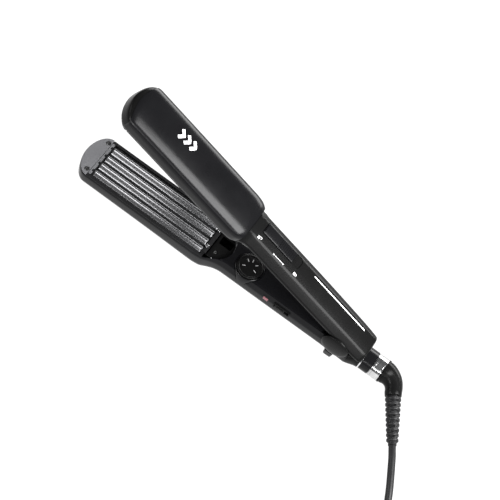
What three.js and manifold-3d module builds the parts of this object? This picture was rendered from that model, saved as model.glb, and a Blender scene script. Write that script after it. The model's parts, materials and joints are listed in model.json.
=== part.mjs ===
// Hair crimper with two hinged arms, corrugated heating plates and a swivel mains cord.
// Millimetres, +Z up. The lower arm lies along X with its cord end at +X and its near side at -Y.
// Everything is first placed round the hinge axis (x = 0, z = 0), then the whole model is
// shifted so that the origin is the middle of the iron's footprint, at the foot of its rubber feet.

import * as THREE from "three";
import * as BufferGeometryUtils from "three/addons/utils/BufferGeometryUtils.js";
import Module from "manifold-3d";

const wasm = await Module();
wasm.setup();

// ---- driving dimensions -------------------------------------------------------------------
const OPEN_ANGLE = THREE.MathUtils.degToRad(22.8); // upper arm raised above the closed position
const PLATE_LENGTH = 120;
const PLATE_WIDTH = 39;
const PLATE_START = -266.5; // tip end of the plates
const RIDGES = 4;
const RIDGE_HEIGHT = 2.1; // half of crest to valley
const HEAD_HALF = 23.2; // half width of the plate head
const HANDLE_HALF = 16.4; // half width of the handles
const WALL = 2;
const LIP = 0.8; // wall thickness at a shell's rim
const GAP = 0.3; // clearance between touching pieces
const FLOOR_Z = -27; // table top under the feet
const TAIL_Z = -15.1; // axis of the cord swivel
const TAIL_RADIUS = 11.5;
const CORD_RADIUS = 3.4;
const MODEL_SHIFT_X = 118.5; // hinge axis to the middle of the iron's footprint

const PLATE_END = PLATE_START + PLATE_LENGTH;
const HINGE = { pin: 2.4, bore: 2.65, barrel: 7, cheek: 9, notch: 9.5, nearCap: 13.6, farCap: 8 };
const CHEEKS = { near: [-16.4, -13], far: [12.2, 15.2] }; // the far one hides under the upper handle
const DIAL = { x: -102.6, y: -3, radius: 12.5, top: 4 };
const BEZEL_RADIUS = 13.9;
const LOCK = { y: 5.5, half: 5.5, front: -124.5, rear: -86, travel: 7 };
const DECK = { top: -3, under: -5, start: -141.5, straight: -136, end: -122.6, half: 16 };
const SLOT = { front: -138.6, rear: -125.8, y0: 1, y1: 10 };
const POWER = { x0: -64.4, x1: -54.4, z0: -6.6, z1: -2, travel: 4 };
const SWIVEL = { start: 38, end: 48.3, spigot: 5, bore: 5.6 };
const ELBOW = { x: 60.8, y: -1, radius: 9.6, tube: 8 };
const BOOT_DIRECTION = new THREE.Vector3(0.5, -Math.sqrt(0.75), 0);
const BOOT = { start: 17, end: 63, thick: 7.2, thin: 5.2 };
const COIL = { x: 176, y: -124, inner: 22.8, outer: 44.2, base: 1, height: 27 };

// ---- finishes -----------------------------------------------------------------------------
function finish(color, roughness, metalness = 0) {
  return () => new THREE.MeshStandardMaterial({ color, roughness, metalness });
}
const glossBlack = finish(0x101012, 0.12);
const satinBlack = finish(0x1b1c1b, 0.4);
const innerBlack = finish(0x202022, 0.55);
const plateCoating = finish(0x2a2a2e, 0.25, 0.6);
const steel = finish(0xb9bbbe, 0.3, 1);
const chrome = finish(0xe2e3e5, 0.08, 1);
const rubber = finish(0x151515, 0.8);
const redLens = finish(0x7a2f35, 0.2);
const greenBoard = finish(0x1f4d34, 0.6);
const ceramic = finish(0xd9d4c8, 0.7);

// ---- geometry helpers ---------------------------------------------------------------------
function solid(geometry) {
  const plain = geometry.clone();
  plain.deleteAttribute("normal");
  plain.deleteAttribute("uv");
  const merged = BufferGeometryUtils.mergeVertices(plain, 1e-4);
  const vertProperties = new Float32Array(merged.attributes.position.array);
  const triVerts = new Uint32Array(merged.index.array);
  return new wasm.Manifold(new wasm.Mesh({ numProp: 3, vertProperties, triVerts }));
}

function geometryOf(manifold) {
  const mesh = manifold.getMesh();
  const geometry = new THREE.BufferGeometry();
  geometry.setAttribute("position", new THREE.BufferAttribute(mesh.vertProperties, 3));
  geometry.setIndex(new THREE.BufferAttribute(mesh.triVerts, 1));
  geometry.computeVertexNormals();
  return geometry;
}

function box(x0, x1, y0, y1, z0, z1) {
  const geometry = new THREE.BoxGeometry(x1 - x0, y1 - y0, z1 - z0);
  return geometry.translate((x0 + x1) / 2, (y0 + y1) / 2, (z0 + z1) / 2);
}

function cylinderAlongX(x0, x1, radius, y, z, sides = 24) {
  const geometry = new THREE.CylinderGeometry(radius, radius, x1 - x0, sides);
  return geometry.rotateZ(-Math.PI / 2).translate((x0 + x1) / 2, y, z);
}

function cylinderAlongY(y0, y1, radius, x = 0, z = 0, sides = 24) {
  const geometry = new THREE.CylinderGeometry(radius, radius, y1 - y0, sides);
  return geometry.translate(x, (y0 + y1) / 2, z);
}

function cylinderAlongZ(z0, z1, radius, x, y, sides = 24) {
  const geometry = new THREE.CylinderGeometry(radius, radius, z1 - z0, sides);
  return geometry.rotateX(Math.PI / 2).translate(x, y, (z0 + z1) / 2);
}

function prism(outline, z0, z1, holes = []) {
  const shape = new THREE.Shape(outline.map(([x, y]) => new THREE.Vector2(x, y)));
  for (const hole of holes) {
    shape.holes.push(new THREE.Path(hole.map(([x, y]) => new THREE.Vector2(x, y))));
  }
  const geometry = new THREE.ExtrudeGeometry(shape, { depth: z1 - z0, bevelEnabled: false });
  return geometry.translate(0, 0, z0);
}

function rectangle(x0, x1, y0, y1) {
  return [[x0, y0], [x1, y0], [x1, y1], [x0, y1]];
}

function joined(...geometries) {
  return geometryOf(geometries.map(solid).reduce((whole, piece) => whole.add(piece)));
}

function cut(geometry, ...cutters) {
  return geometryOf(cutters.map(solid).reduce((whole, piece) => whole.subtract(piece), solid(geometry)));
}

// Skins a row of rings, each a list of [x, y, z] with the same count, and closes both ends.
function loft(rings) {
  const count = rings[0].length;
  const positions = rings.flat(2);
  const index = [];
  for (let i = 0; i + 1 < rings.length; i += 1) {
    for (let j = 0; j < count; j += 1) {
      const a = i * count + j;
      const b = i * count + ((j + 1) % count);
      index.push(a, b, a + count, b, b + count, a + count);
    }
  }
  const last = (rings.length - 1) * count;
  const section = rings[0].map(([, y, z]) => new THREE.Vector2(y, z));
  const clockwise = THREE.ShapeUtils.isClockWise(section);
  for (const [a, b, c] of THREE.ShapeUtils.triangulateShape(section, [])) {
    const [second, third] = clockwise ? [b, c] : [c, b];
    index.push(a, second, third, last + a, last + third, last + second);
  }
  const geometry = new THREE.BufferGeometry();
  geometry.setAttribute("position", new THREE.Float32BufferAttribute(positions, 3));
  geometry.setIndex(outward(positions, index));
  return geometry;
}

// Turns every triangle over if the closed surface faces inwards.
function outward(positions, index) {
  const point = (i) => new THREE.Vector3(positions[3 * i], positions[3 * i + 1], positions[3 * i + 2]);
  let volume = 0;
  for (let i = 0; i < index.length; i += 3) {
    const [a, b, c] = [point(index[i]), point(index[i + 1]), point(index[i + 2])];
    volume += a.dot(b.cross(c));
  }
  if (volume > 0) {
    return index;
  }
  const turned = [];
  for (let i = 0; i < index.length; i += 3) {
    turned.push(index[i], index[i + 2], index[i + 1]);
  }
  return turned;
}

// ---- arm sections -------------------------------------------------------------------------
// Half a section from the rim, round the shoulder and the rounded wall, to the middle of the base.
// A station holds: w half width, rim height, tuck of the rim, shoulder height, base height, n roundness.
function halfSection(s, thickness) {
  const inner = thickness > 0;
  const towards = Math.sign(s.base - s.rim);
  const w = s.w - thickness;
  const base = s.base - towards * thickness;
  const rimY = s.w - s.tuck - (inner ? LIP : 0);
  const points = [[rimY, s.rim - (inner ? towards : 0)]];
  if (inner) {
    points.push([rimY, s.rim]);
  }
  points.push([rimY + (w - rimY) * 0.7, s.rim + (s.shoulder - s.rim) * 0.35]);
  const steps = 7;
  for (let i = 0; i <= steps; i += 1) {
    const t = (Math.PI / 2) * (i / steps);
    const y = w * Math.cos(t) ** (2 / s.n);
    points.push([i === steps ? 0 : y, s.shoulder + (base - s.shoulder) * Math.sin(t) ** (2 / s.n)]);
  }
  return points;
}

// Half a section of the upper handle: a lip, a wall, a slope and a nearly flat top.
// A station also holds: slope, where the slope starts, and top, half the width of the top.
function slopedSection(s, thickness) {
  const inner = thickness > 0;
  const w = s.w - thickness;
  const rimY = s.w - s.tuck - (inner ? LIP : 0);
  const base = s.base - thickness;
  const slope = s.slope - thickness * 0.6;
  const top = s.top - thickness * 0.4;
  const points = [[rimY, s.rim - (inner ? 1 : 0)]];
  if (inner) {
    points.push([rimY, s.rim]);
  }
  points.push([w - 0.2, s.shoulder], [w, s.shoulder + 0.8], [w - 0.3, slope - 0.4], [w - 1, slope + 0.4]);
  points.push([top + 0.9, base - 0.95], [top - 0.6, base - 0.3], [0, base]);
  return points;
}

function fullSection(s, thickness) {
  const half = s.slope === undefined ? halfSection(s, thickness) : slopedSection(s, thickness);
  const mirrored = half.slice(0, -1).reverse().map(([y, z]) => [-y, z]);
  return [...half, ...mirrored].map(([y, z]) => [s.x, y, z]);
}

function stationAt(stations, x) {
  const next = Math.max(1, stations.findIndex((s) => s.x >= x));
  const [a, b] = [stations[next - 1], stations[next]];
  const u = (x - a.x) / (b.x - a.x);
  return Object.fromEntries(Object.keys(a).map((key) => [key, a[key] + (b[key] - a[key]) * u]));
}

// A hollow shell over the stations, open along its rim; each end is walled or left open.
function shell(stations, walledStart, walledEnd) {
  const outer = loft(stations.map((s) => fullSection(s, 0)));
  const [first, last] = [stations[0], stations.at(-1)];
  const x0 = first.x + (walledStart ? WALL : 0);
  const x1 = last.x - (walledEnd ? WALL : 0);
  const core = [
    stationAt(stations, x0),
    ...stations.filter((s) => s.x > x0 + 0.1 && s.x < x1 - 0.1),
    stationAt(stations, x1),
  ];
  if (!walledStart) {
    core.unshift({ ...core[0], x: first.x - 1 });
  }
  if (!walledEnd) {
    core.push({ ...core.at(-1), x: last.x + 1 });
  }
  return cut(outer, loft(core.map((s) => fullSection(s, WALL))));
}

// Stations that round a head off to its tip, as half an ellipse in plan.
function tipStations(start, reach, station, tipBase) {
  return [0.985, 0.9, 0.7, 0.4].map((u) => {
    const round = Math.sqrt(1 - u * u);
    const drop = 1 - u ** 4;
    return {
      ...station,
      x: start - reach * u,
      w: HEAD_HALF * round,
      base: tipBase + (station.base - tipBase) * drop,
      tuck: station.tuck * round,
    };
  });
}

const LOWER_HEAD = { x: -271.5, w: HEAD_HALF, rim: -2, tuck: 0.8, shoulder: -3.6, base: -20, n: 3.2 };
const LOWER_HANDLE = { x: -122, w: 16.2, rim: 1.3, tuck: 2.4, shoulder: -5, base: -19.4, n: 3 };
const LOWER_STATIONS = [
  ...tipStations(LOWER_HEAD.x, 14, LOWER_HEAD, -14),
  LOWER_HEAD,
  { ...LOWER_HEAD, x: -205, base: -21 },
  { ...LOWER_HEAD, x: -152, base: -23 },
  { ...LOWER_HEAD, x: -143, w: 22.3, base: -23.2 },
  { ...LOWER_HEAD, x: -136, w: 19.2, rim: -1.4, tuck: 1.3, shoulder: -4, base: -22.3 },
  { ...LOWER_HANDLE, x: -129, w: 16.9, rim: 0.4, tuck: 2, base: -20.4 },
  LOWER_HANDLE,
  { ...LOWER_HANDLE, x: -80, w: 16.3, base: -19.2 },
  { ...LOWER_HANDLE, x: -16, w: HANDLE_HALF, base: -18.8 },
  { ...LOWER_HANDLE, x: 6, w: HANDLE_HALF, rim: -2, tuck: 1, shoulder: -7, base: -19.6 },
  { ...LOWER_HANDLE, x: 14.7, w: 16, rim: -5.4, tuck: 1, shoulder: -9, base: -21 },
];

const UPPER_HEAD = { x: -272.5, w: HEAD_HALF, rim: 2.6, tuck: 0.6, shoulder: 5, base: 19.6, n: 3.4 };
const UPPER_HANDLE = { x: -122, w: 16.7, rim: 5, tuck: 1.2, shoulder: 7, slope: 11.2, top: 9.4, base: 15.7 };
const UPPER_HEAD_STATIONS = [
  ...tipStations(UPPER_HEAD.x, 15, UPPER_HEAD, 15.5),
  UPPER_HEAD,
  { ...UPPER_HEAD, x: -150, base: 19.4 },
  { ...UPPER_HEAD, x: -141, w: 22.4, base: 18.9 },
  { ...UPPER_HEAD, x: -135.8, w: 20.2, rim: 3.2, tuck: 0.8, base: 17.8 },
];
const UPPER_HANDLE_STATIONS = [
  { x: -135.4, w: 20, rim: 3.2, tuck: 0.8, shoulder: 5, slope: 8.6, top: 9.4, base: 17.7 },
  { ...UPPER_HANDLE, x: -128, w: 17, rim: 4.6, slope: 10.6, top: 9.4, base: 16.1 },
  UPPER_HANDLE,
  { ...UPPER_HANDLE, x: -60, base: 15.5 },
  { ...UPPER_HANDLE, x: 0, w: 16.1, slope: 11, base: 15.3 },
  { ...UPPER_HANDLE, x: 21, w: 15.2, rim: 5.8, shoulder: 7.2, slope: 10.6, base: 14.7 },
  { ...UPPER_HANDLE, x: 24, w: 14.8, rim: 6.6, shoulder: 7.8, slope: 10.2, top: 8.6, base: 14.2 },
  { ...UPPER_HANDLE, x: 25, w: 13.8, rim: 7.6, shoulder: 8.4, slope: 9, top: 7.4, base: 13.2 },
];

// A flat cover that closes a tray between its rims, following widths given at stations.
function coverPlate(stations, thickness) {
  return loft(stations.map(({ x, w, top }) => [
    [x, -w, top - thickness],
    [x, w, top - thickness],
    [x, w, top - 0.8],
    [x, w * 0.72, top],
    [x, -w * 0.72, top],
    [x, -w, top - 0.8],
  ]));
}

function halfMoon(start, reach, half, segments = 12) {
  const outline = [];
  for (let i = 0; i <= segments; i += 1) {
    const t = (Math.PI * i) / segments;
    outline.push([start - reach * Math.sin(t), half * Math.cos(t)]);
  }
  return outline;
}

function deckOutline(grow) {
  const half = DECK.half + grow;
  const reach = DECK.end - DECK.straight + grow;
  const outline = [[DECK.start - grow, half], [DECK.start - grow, -half]];
  const segments = 14;
  for (let i = 0; i <= segments; i += 1) {
    const t = -Math.PI / 2 + (Math.PI * i) / segments;
    outline.push([DECK.straight + reach * Math.cos(t), half * Math.sin(t)]);
  }
  return outline;
}

// ---- pieces of the plate heads ------------------------------------------------------------
function crimpPlate(middle, back) {
  const pitch = PLATE_WIDTH / RIDGES;
  const steps = RIDGES * 8;
  const wave = [];
  for (let i = 0; i <= steps; i += 1) {
    const y = -PLATE_WIDTH / 2 + (PLATE_WIDTH * i) / steps;
    wave.push([y, middle - RIDGE_HEIGHT * Math.cos((2 * Math.PI * (y + PLATE_WIDTH / 2)) / pitch)]);
  }
  const section = [...wave, [PLATE_WIDTH / 2, back], [-PLATE_WIDTH / 2, back]];
  return loft([PLATE_START, PLATE_END].map((x) => section.map(([y, z]) => [x, y, z])));
}

function plateSurround(half, z0, z1) {
  const hole = rectangle(PLATE_START - 0.4, PLATE_END + 0.4, -PLATE_WIDTH / 2 - 0.4, PLATE_WIDTH / 2 + 0.4);
  const [front, narrowing, rear] = [PLATE_START - 3.8, PLATE_END - 6.5, PLATE_END + 3.2];
  const side = [[front, -half], [narrowing, -half], [rear, 0.8 - half]];
  const opposite = side.map(([x, y]) => [x, -y]).reverse();
  return prism([...side, ...opposite], z0, z1, [hole]);
}

// The surround of a plate: a frame inside the shell and a flange that stands over the shell's rim.
function plateFrame(z0, z1, flange0, flange1) {
  return joined(
    plateSurround(HEAD_HALF - WALL - 0.4, z0, z1),
    plateSurround(HEAD_HALF - 0.7, flange0, flange1),
  );
}

function heater(z0, z1) {
  return box(PLATE_START + 18, PLATE_END - 14, -14, 14, z0, z1);
}

const TIP_SCREW = { x: -273.6, y: 17, hole: 2.5, radius: 2.1 };

// A lid with the outline of the head's tip, on a plug that fits inside the shell.
function tipCap(start, z0, z1, lid0, lid1) {
  const lid = prism(halfMoon(start, 14.4, HEAD_HALF - 0.3, 20), lid0, lid1);
  const holes = [-1, 1].map((side) => cylinderAlongZ(z0 - 3, z1 + 3, TIP_SCREW.hole, TIP_SCREW.x, side * TIP_SCREW.y, 16));
  return cut(joined(prism(halfMoon(start, 12, HEAD_HALF - WALL - 0.4), z0, z1), lid), ...holes);
}

function tipScrew(side, z0, z1) {
  return cylinderAlongZ(z0, z1, TIP_SCREW.radius, TIP_SCREW.x, side * TIP_SCREW.y, 12);
}

// ---- lower arm ----------------------------------------------------------------------------
function lowerOuterShell() {
  const cheek = ([y0, y1]) => cylinderAlongY(y0, y1, HINGE.cheek, 0, 0, 36);
  const body = joined(shell(LOWER_STATIONS, true, false), cheek(CHEEKS.near), cheek(CHEEKS.far));
  return cut(
    body,
    cylinderAlongY(-20, 20, HINGE.bore),
    cylinderAlongY(CHEEKS.far[1], 20, HINGE.farCap + GAP),
    cylinderAlongZ(-7, 6, BEZEL_RADIUS + GAP, DIAL.x, DIAL.y, 32),
    box(-77.6, -72, -20, -12, -7.3, -2.3),
    box(-65.6, -49.2, -20, -12, -7.2, -1.4),
  );
}

function lowerInnerCover() {
  const plate = coverPlate([
    { x: -137.4, w: 16.2, top: -0.7 },
    { x: -129, w: 13.6, top: 1.2 },
    { x: -122, w: 12.7, top: 2 },
    { x: -80, w: 12.8, top: 2 },
    { x: -16, w: 12.9, top: 2 },
  ], 2.6);
  return cut(
    plate,
    prism(deckOutline(0.4), -8, 6),
    cylinderAlongZ(-7, 6, BEZEL_RADIUS + GAP, DIAL.x, DIAL.y, 32),
  );
}

function lockDeck() {
  const slot = rectangle(SLOT.front, SLOT.rear, SLOT.y0, SLOT.y1);
  const deck = prism(deckOutline(0), DECK.under, DECK.top, [slot]);
  return cut(deck, cylinderAlongZ(DECK.under - 1, DECK.top + 1, 1.9, -135.9, -8.4, 16));
}

function ring(x0, x1, radius, bore, sides = 36) {
  return cut(
    cylinderAlongX(x0, x1, radius, 0, TAIL_Z, sides),
    cylinderAlongX(x0 - 1, x1 + 1, bore, 0, TAIL_Z, 20),
  );
}

// Blends the rounded handle section into the round collar.
function tailHousing() {
  const sides = 28;
  const start = { x: 15, w: 15.4, half: 7.7, z: -13.4, n: 3 };
  const end = { x: 26.7, w: TAIL_RADIUS + 0.25, half: TAIL_RADIUS + 0.25, z: TAIL_Z, n: 2 };
  const rings = [0, 0.35, 0.7, 1].map((u) => {
    const ease = u * u * (3 - 2 * u);
    const mix = (key) => start[key] + (end[key] - start[key]) * ease;
    const points = [];
    for (let i = 0; i < sides; i += 1) {
      const t = (2 * Math.PI * i) / sides;
      const power = (v) => Math.sign(v) * Math.abs(v) ** (2 / mix("n"));
      const x = start.x + (end.x - start.x) * u;
      points.push([x, mix("w") * power(Math.cos(t)), mix("z") + mix("half") * power(Math.sin(t))]);
    }
    return points;
  });
  return cut(loft(rings), cylinderAlongX(10, 30, SWIVEL.bore, 0, TAIL_Z, 20));
}

function dialBezel() {
  return cut(
    cylinderAlongZ(-6.6, 2.7, BEZEL_RADIUS, DIAL.x, DIAL.y, 40),
    cylinderAlongZ(-1.6, 4, DIAL.radius + 0.4, DIAL.x, DIAL.y, 40),
    cylinderAlongZ(-8, 0, 3.4, DIAL.x, DIAL.y, 16),
  );
}

function hingeCover(side, radius, rise) {
  const profile = [[0, 0], [radius, 0], [radius, rise * 0.4], [radius * 0.88, rise * 0.8], [0, rise]];
  const dome = new THREE.LatheGeometry(profile.map(([r, h]) => new THREE.Vector2(r, h)), 36);
  if (side < 0) {
    dome.rotateX(Math.PI);
  }
  return dome.translate(0, side < 0 ? CHEEKS.near[0] - GAP : CHEEKS.far[1] + GAP, 0);
}

// ---- upper arm ----------------------------------------------------------------------------
function hingeNotches() {
  const spans = [[-22, CHEEKS.near[1] + GAP], [CHEEKS.far[0] - GAP, 22]];
  return spans.map(([y0, y1]) => cylinderAlongY(y0, y1, HINGE.notch, 0, 0, 36));
}

function upperHandleCover() {
  return cut(
    shell(UPPER_HANDLE_STATIONS, false, true),
    ...hingeNotches(),
    box(LOCK.front - 0.4, LOCK.rear + LOCK.travel + 1, LOCK.y - LOCK.half - 0.3, LOCK.y + LOCK.half + 0.3, 14.6, 20),
    box(-121, -104, LOCK.y - 3, LOCK.y + 3, 10, 20),
  );
}

function upperInnerCover() {
  const plate = coverPlate([
    { x: -141.6, w: 19.6, top: 4.6 },
    { x: -135.5, w: 17.6, top: 5.2 },
    { x: -128, w: 13.9, top: 6.6 },
    { x: -122, w: 13.7, top: 7 },
    { x: 16, w: 12.2, top: 7 },
  ], 1.8);
  const body = joined(
    plate,
    cylinderAlongY(-8, 8, HINGE.barrel),
    box(-6.5, 6.5, -8, 8, 1, 6.5),
  );
  return cut(
    body,
    ...hingeNotches(),
    cylinderAlongY(-20, 20, HINGE.bore),
    box(-138, -125.4, LOCK.y - 3.2, LOCK.y + 3.2, 0, 9),
  );
}

function lockHook() {
  const outline = [[-137, -8.5], [-131, -8.5], [-131, -5.6], [-133.5, -5.6], [-133.5, 10.6], [-113, 10.6],
    [-113, 13], [-137, 13]];
  const plate = prism(outline, -2.4, 2.4);
  return plate.rotateX(Math.PI / 2).translate(0, LOCK.y, 0);
}

function lockButton() {
  const body = prism(rectangle(LOCK.front, LOCK.rear, LOCK.y - LOCK.half, LOCK.y + LOCK.half), 14.9, 16.9);
  return joined(body, box(-119.8, -113.2, LOCK.y - 2.6, LOCK.y + 2.6, 13.3, 15.5));
}

// ---- cord ---------------------------------------------------------------------------------
function swivelElbow() {
  const along = BOOT_DIRECTION;
  const sphere = new THREE.SphereGeometry(ELBOW.radius, 24, 14).translate(ELBOW.x, ELBOW.y, TAIL_Z);
  const tube = new THREE.CylinderGeometry(ELBOW.tube, ELBOW.tube, BOOT.start - GAP, 20);
  tube.translate(0, (BOOT.start - GAP) / 2, 0);
  tube.applyQuaternion(new THREE.Quaternion().setFromUnitVectors(new THREE.Vector3(0, 1, 0), along));
  tube.translate(ELBOW.x, ELBOW.y, TAIL_Z);
  const start = SWIVEL.end + GAP;
  const taper = new THREE.CylinderGeometry(ELBOW.radius - 0.4, TAIL_RADIUS - 0.2, ELBOW.x - start - 2, 36);
  taper.rotateZ(-Math.PI / 2).translate((ELBOW.x + start + 2) / 2, -0.4, TAIL_Z);
  return joined(
    sphere,
    tube,
    taper,
    cylinderAlongX(start, start + 2.2, TAIL_RADIUS - 0.1, 0, TAIL_Z, 36),
    cylinderAlongX(20, ELBOW.x, SWIVEL.spigot, 0, TAIL_Z, 20),
  );
}

function bootPoint(distance) {
  return new THREE.Vector3(ELBOW.x, ELBOW.y, TAIL_Z).addScaledVector(BOOT_DIRECTION, distance);
}

function strainRelief() {
  const length = BOOT.end - BOOT.start;
  const boot = new THREE.CylinderGeometry(BOOT.thin, BOOT.thick, length, 20);
  boot.translate(0, BOOT.start + length / 2, 0);
  boot.applyQuaternion(new THREE.Quaternion().setFromUnitVectors(new THREE.Vector3(0, 1, 0), BOOT_DIRECTION));
  return boot.translate(ELBOW.x, ELBOW.y, TAIL_Z);
}

const CORD_Z = FLOOR_Z + CORD_RADIUS + 0.2; // centre of a cord that lies on the table

// Hand-chosen points of the cord from the strain relief to the coil.
const LEAD_POINTS = [
  bootPoint(BOOT.end + GAP),
  bootPoint(BOOT.end + 12),
  new THREE.Vector3(110.4, -87.5, -18.8),
  new THREE.Vector3(116.8, -99.5, -22.2),
  new THREE.Vector3(122.4, -110.5, CORD_Z),
  new THREE.Vector3(126.4, -121.5, CORD_Z),
  new THREE.Vector3(127.4, -131, CORD_Z),
];

// The last part of the cord comes down round the outside of the coil to the plug.
const TAIL = { start: -100, sweep: 125, radius: COIL.outer + CORD_RADIUS + 0.6, spread: 16, top: 21 };

function tailPoint(u) {
  const angle = THREE.MathUtils.degToRad(TAIL.start + TAIL.sweep * u);
  const ease = u * u * (3 - 2 * u);
  const radius = TAIL.radius + TAIL.spread * ease;
  return new THREE.Vector3(
    COIL.x + radius * Math.cos(angle),
    COIL.y + radius * Math.sin(angle),
    CORD_Z + TAIL.top * (1 - ease),
  );
}

const TAIL_POINTS = [0, 1, 2, 3, 4, 5, 6, 7, 8].map((i) => tailPoint(i / 8));

function tube(points, steps) {
  const circle = new THREE.Shape();
  circle.absarc(0, 0, CORD_RADIUS, 0, 2 * Math.PI, false);
  const path = new THREE.CatmullRomCurve3(points);
  return new THREE.ExtrudeGeometry(circle, { steps, curveSegments: 10, extrudePath: path, bevelEnabled: false });
}

function coilSolid() {
  const low = FLOOR_Z + COIL.base;
  const high = low + COIL.height;
  const profile = [
    [COIL.inner + 2, low], [COIL.outer - 2, low], [COIL.outer, low + 2], [COIL.outer, high - 2],
    [COIL.outer - 2, high], [COIL.inner + 2, high], [COIL.inner, high - 2], [COIL.inner, low + 2],
    [COIL.inner + 2, low],
  ].map(([r, z]) => new THREE.Vector2(r, z));
  return new THREE.LatheGeometry(profile, 40).rotateX(Math.PI / 2).translate(COIL.x, COIL.y, 0);
}

function cableTie() {
  const low = FLOOR_Z;
  const high = FLOOR_Z + COIL.base + COIL.height + 1.1;
  const outer = box(-5, 5, COIL.inner - 1.9, COIL.outer + 1.4, low, high);
  const inner = box(-6, 6, COIL.inner - 0.9, COIL.outer + 0.4, low + 0.8, high - 0.8);
  const turn = THREE.MathUtils.degToRad(60);
  return cut(outer, inner).rotateZ(turn).translate(COIL.x, COIL.y, 0);
}

const PLUG = { length: 36, half: 17, thin: 7, pin: 2.4, pinLength: 19, spacing: 9.3 };

// Places a piece of the plug, modelled along +X from the cord, where the cord ends.
function atPlug(geometry) {
  const end = TAIL_POINTS.at(-1);
  const tangent = new THREE.CatmullRomCurve3(TAIL_POINTS).getTangent(1);
  const heading = Math.atan2(tangent.y, tangent.x);
  return geometry.rotateZ(heading).translate(end.x, end.y, end.z + PLUG.thin - CORD_RADIUS);
}

function plugBody() {
  const outline = [[GAP, -5], [10, -6], [20, -PLUG.half], [PLUG.length - 4, -PLUG.half], [PLUG.length, -11],
    [PLUG.length, 11], [PLUG.length - 4, PLUG.half], [20, PLUG.half], [10, 6], [GAP, 5]];
  return atPlug(prism(outline, -PLUG.thin, PLUG.thin));
}

function plugPin(side) {
  const start = PLUG.length + GAP;
  return atPlug(cylinderAlongX(start, start + PLUG.pinLength, PLUG.pin, side * PLUG.spacing, 0, 12));
}

// ---- assembly -----------------------------------------------------------------------------
function add(group, name, geometry, material) {
  const mesh = new THREE.Mesh(geometry, material());
  mesh.name = name;
  group.add(mesh);
}

function lowerArm() {
  const arm = new THREE.Group();
  add(arm, "lower_outer_shell", lowerOuterShell(), glossBlack);
  add(arm, "lower_inner_cover", lowerInnerCover(), glossBlack);
  add(arm, "lower_plate_frame", plateFrame(-4.6, -1.5, -1.7, -1.1), innerBlack);
  add(arm, "lower_crimp_plate", crimpPlate(-1, -5.5), plateCoating);
  add(arm, "lower_heater", heater(-8.2, -5.8), ceramic);
  add(arm, "lower_tip_cap", tipCap(-270.8, -4.2, -1.2, -1.7, -0.7), satinBlack);
  add(arm, "lower_tip_screw_near", tipScrew(-1, -9, -1.5), steel);
  add(arm, "lower_tip_screw_far", tipScrew(1, -9, -1.5), steel);
  add(arm, "plate_retainer", box(PLATE_END + 0.5, PLATE_END + 4.4, -17, 17, -0.8, 0.6), innerBlack);
  add(arm, "lock_deck", lockDeck(), satinBlack);
  add(arm, "deck_screw", cylinderAlongZ(-8, -3.4, 1.6, -135.9, -8.4, 12), steel);
  add(arm, "dial_bezel", dialBezel(), satinBlack);
  add(arm, "rotary_switch", box(DIAL.x - 9, DIAL.x + 9, DIAL.y - 7, DIAL.y + 9, -14, -9), innerBlack);
  add(arm, "control_board", box(-90, -24, -10, 10, -13.4, -11.8), greenBoard);
  add(arm, "indicator_lens", box(-77.3, -72.3, -16.6, -12.5, -7, -2.6), redLens);
  add(arm, "switch_module", box(-66, -49, -12.9, -6, -8, -1), innerBlack);
  add(arm, "front_foot", box(-134.5, -124.5, -7.8, 7.8, FLOOR_Z, -22.8), rubber);
  add(arm, "rear_foot_near", box(-5.2, 2.6, -15.5, -9, FLOOR_Z, -19.9), rubber);
  add(arm, "rear_foot_far", box(-5.2, 2.6, 9, 15.5, FLOOR_Z, -19.9), rubber);
  add(arm, "hinge_pin", cylinderAlongY(-16.3, 15.1, HINGE.pin, 0, 0, 16), steel);
  add(arm, "hinge_cover_near", hingeCover(-1, HINGE.nearCap, 2.8), satinBlack);
  add(arm, "hinge_cover_far", hingeCover(1, HINGE.farCap, 0.8), satinBlack);
  add(arm, "opening_spring", cut(cylinderAlongY(8.6, 11.6, 4.8), cylinderAlongY(8, 13, 3, 0, 0, 16)), steel);
  add(arm, "tail_housing", tailHousing(), satinBlack);
  add(arm, "tail_trim_ring", ring(27, 28, TAIL_RADIUS + 0.25, SWIVEL.bore), chrome);
  add(arm, "swivel_collar", ring(28.3, SWIVEL.start - GAP, TAIL_RADIUS - 0.1, SWIVEL.bore), glossBlack);
  add(arm, "swivel_ring", ring(SWIVEL.start, SWIVEL.end, TAIL_RADIUS, SWIVEL.bore), chrome);
  return arm;
}

function upperArm() {
  const arm = new THREE.Group();
  add(arm, "upper_head_shell", shell(UPPER_HEAD_STATIONS, true, false), glossBlack);
  add(arm, "upper_handle_cover", upperHandleCover(), satinBlack);
  add(arm, "upper_inner_cover", upperInnerCover(), satinBlack);
  add(arm, "upper_plate_frame", plateFrame(2.2, 5.6, 1.7, 2.3), innerBlack);
  add(arm, "upper_crimp_plate", crimpPlate(0.6, 5.2), plateCoating);
  add(arm, "upper_heater", heater(5.5, 8), ceramic);
  add(arm, "upper_tip_cap", tipCap(-271.6, 2, 4.6, 1.5, 2.3), satinBlack);
  add(arm, "upper_tip_screw_near", tipScrew(-1, 2.3, 9), steel);
  add(arm, "upper_tip_screw_far", tipScrew(1, 2.3, 9), steel);
  add(arm, "lock_button", lockButton(), satinBlack);
  add(arm, "lock_hook", lockHook(), satinBlack);
  arm.rotation.y = OPEN_ANGLE;
  return arm;
}

function controls() {
  const group = new THREE.Group();
  add(group, "dial_knob", cylinderAlongZ(-1.2, DIAL.top, DIAL.radius, DIAL.x, DIAL.y, 40), satinBlack);
  add(group, "dial_spindle", cylinderAlongZ(-8.6, -1.5, 3, DIAL.x, DIAL.y, 16), steel);
  add(group, "power_slider", box(POWER.x0, POWER.x1, -17.2, -13.2, POWER.z0, POWER.z1), satinBlack);
  return group;
}

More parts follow.
